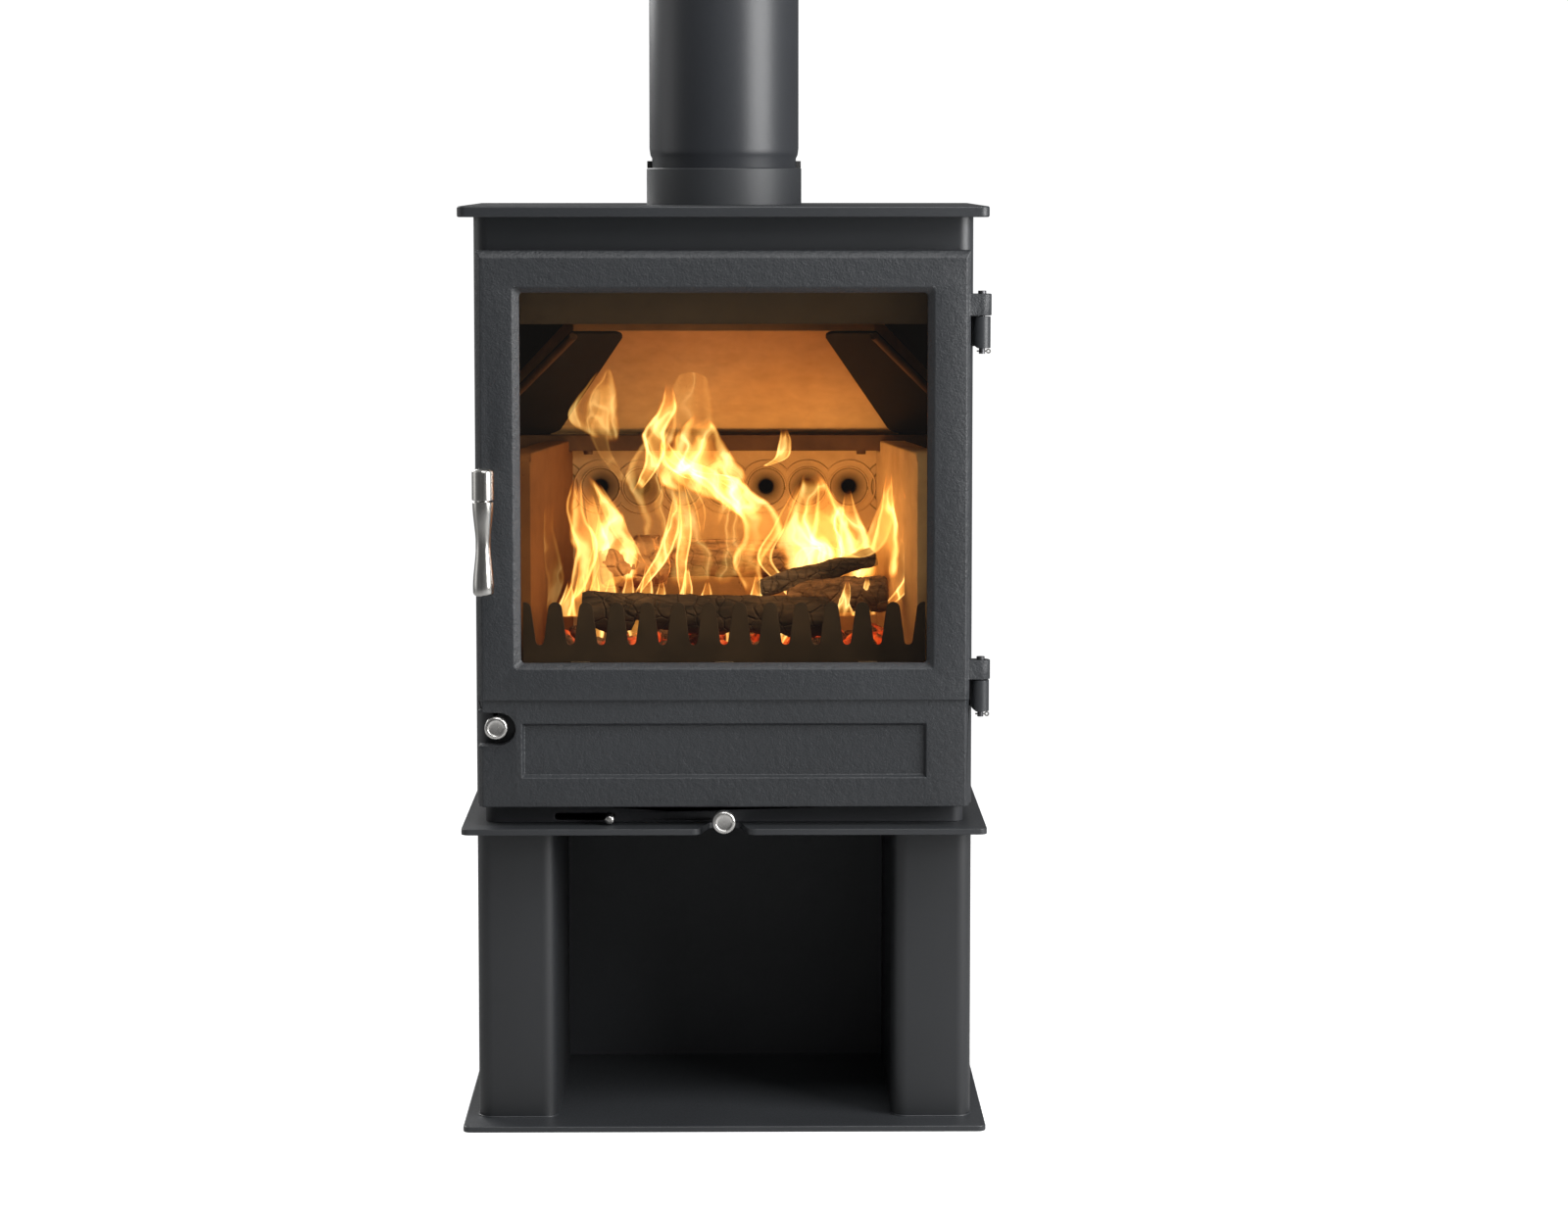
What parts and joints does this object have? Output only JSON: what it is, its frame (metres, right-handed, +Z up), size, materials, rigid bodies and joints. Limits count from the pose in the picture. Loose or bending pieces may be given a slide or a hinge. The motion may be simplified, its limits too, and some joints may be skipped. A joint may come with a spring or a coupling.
{
  "type": "wood burning stove",
  "caption": "Free-standing wood burning stove with a large side-hung glass door, standing on an open log store, with top flue collar and a length of round flue pipe.",
  "frame": {"origin": "centre of the base plate's underside, on the floor", "axes": "+Z up along the flue pipe, -Y towards the person in front of the door, +X to their right"},
  "size_m": [0.5152, 0.4031, 1.1595],
  "materials": {
    "painted_steel": "matt heat-proof charcoal stove paint on folded sheet steel",
    "painted_cast_iron": "matt charcoal stove paint over a fine pebbled sand casting",
    "cast_iron": "dark unfinished casting",
    "bare_steel": "dark heat-darkened steel sheet",
    "fire_brick": "pressed cream vermiculite fire brick, matt",
    "vermiculite": "pressed cream vermiculite board, matt and slightly pitted",
    "rope_seal": "black knitted glass rope",
    "ceramic_glass": "clear ceramic stove glass with a slight amber tint",
    "brushed_stainless": "turned and satin-polished stainless steel",
    "plated_fastener": "zinc-plated steel, slightly dulled by heat"
  },
  "bodies": {
    "stove": {"log_store_base_plate": "painted_steel", "log_store_left_leg": "painted_steel", "log_store_right_leg": "painted_steel", "log_store_back_panel": "painted_steel", "log_store_top_plate": "painted_steel", "log_store_bolts": "plated_fastener", "plinth": "painted_steel", "body_floor": "painted_steel", "body_shell": "painted_steel", "body_back_panel": "painted_steel", "rear_flue_blanking_plate": "painted_steel", "blanking_plate_bolts": "plated_fastener", "top_plate": "painted_steel", "flue_collar": "cast_iron", "flue_seal_ring": "rope_seal", "flue_pipe": "painted_steel", "rear_fire_brick": "fire_brick", "left_fire_brick": "fire_brick", "right_fire_brick": "fire_brick", "baffle_board": "vermiculite", "baffle_left_plate": "bare_steel", "baffle_right_plate": "bare_steel", "baffle_support_rail": "bare_steel", "rail_bolts": "bare_steel", "air_wash_deflector": "bare_steel", "rear_air_duct": "bare_steel", "log_retainer": "cast_iron", "fire_grate": "cast_iron", "grate_ledges": "bare_steel", "ash_pan": "bare_steel", "ash_pan_handle": "bare_steel", "ash_pan_runners": "bare_steel", "upper_hinge_knuckle": "painted_steel", "lower_hinge_knuckle": "painted_steel", "hinge_pins": "plated_fastener", "split_pins": "plated_fastener", "hinge_screws": "painted_steel", "latch_keeper": "plated_fastener", "air_slide_guides": "bare_steel"},
    "door": {"door_casting": "painted_cast_iron", "door_glass": "ceramic_glass", "glass_gasket": "rope_seal", "glass_clips": "plated_fastener", "clip_screws": "plated_fastener", "door_rope_seal": "rope_seal"},
    "door_handle": {"handle_head": "brushed_stainless", "handle_grip": "brushed_stainless", "handle_collar": "brushed_stainless", "latch_spindle": "plated_fastener", "latch_cam": "plated_fastener", "spindle_nut": "plated_fastener"},
    "riddler": {"riddling_knob": "brushed_stainless", "riddling_rod": "plated_fastener", "riddling_link": "bare_steel", "riddling_grate": "cast_iron"},
    "air_slide": {"air_knob": "brushed_stainless", "air_rod": "plated_fastener", "air_slide_plate": "bare_steel"},
    "air_lever_slide": {"air_lever": "brushed_stainless", "secondary_air_slide": "bare_steel"}
  },
  "joints": [
    {"name": "door_hinge", "type": "hinge", "parent": "stove", "child": "door", "pos_m": [0.25, -0.16325, 0.6], "axis": [0, 0, 1], "range_deg": [0, 110]},
    {"name": "handle_turn", "type": "hinge", "parent": "door", "child": "door_handle", "pos_m": [-0.231, -0.205, 0.6377], "axis": [0, 1, 0], "range_deg": [0, 90]},
    {"name": "riddler_pull", "type": "slide", "parent": "stove", "child": "riddler", "axis": [0, -1, 0], "range_m": [0, 0.025]},
    {"name": "air_slide_pull", "type": "slide", "parent": "stove", "child": "air_slide", "axis": [0, -1, 0], "range_m": [0, 0.035]},
    {"name": "air_lever_slide", "type": "slide", "parent": "stove", "child": "air_lever_slide", "axis": [-1, 0, 0], "range_m": [0, 0.05]}
  ]
}
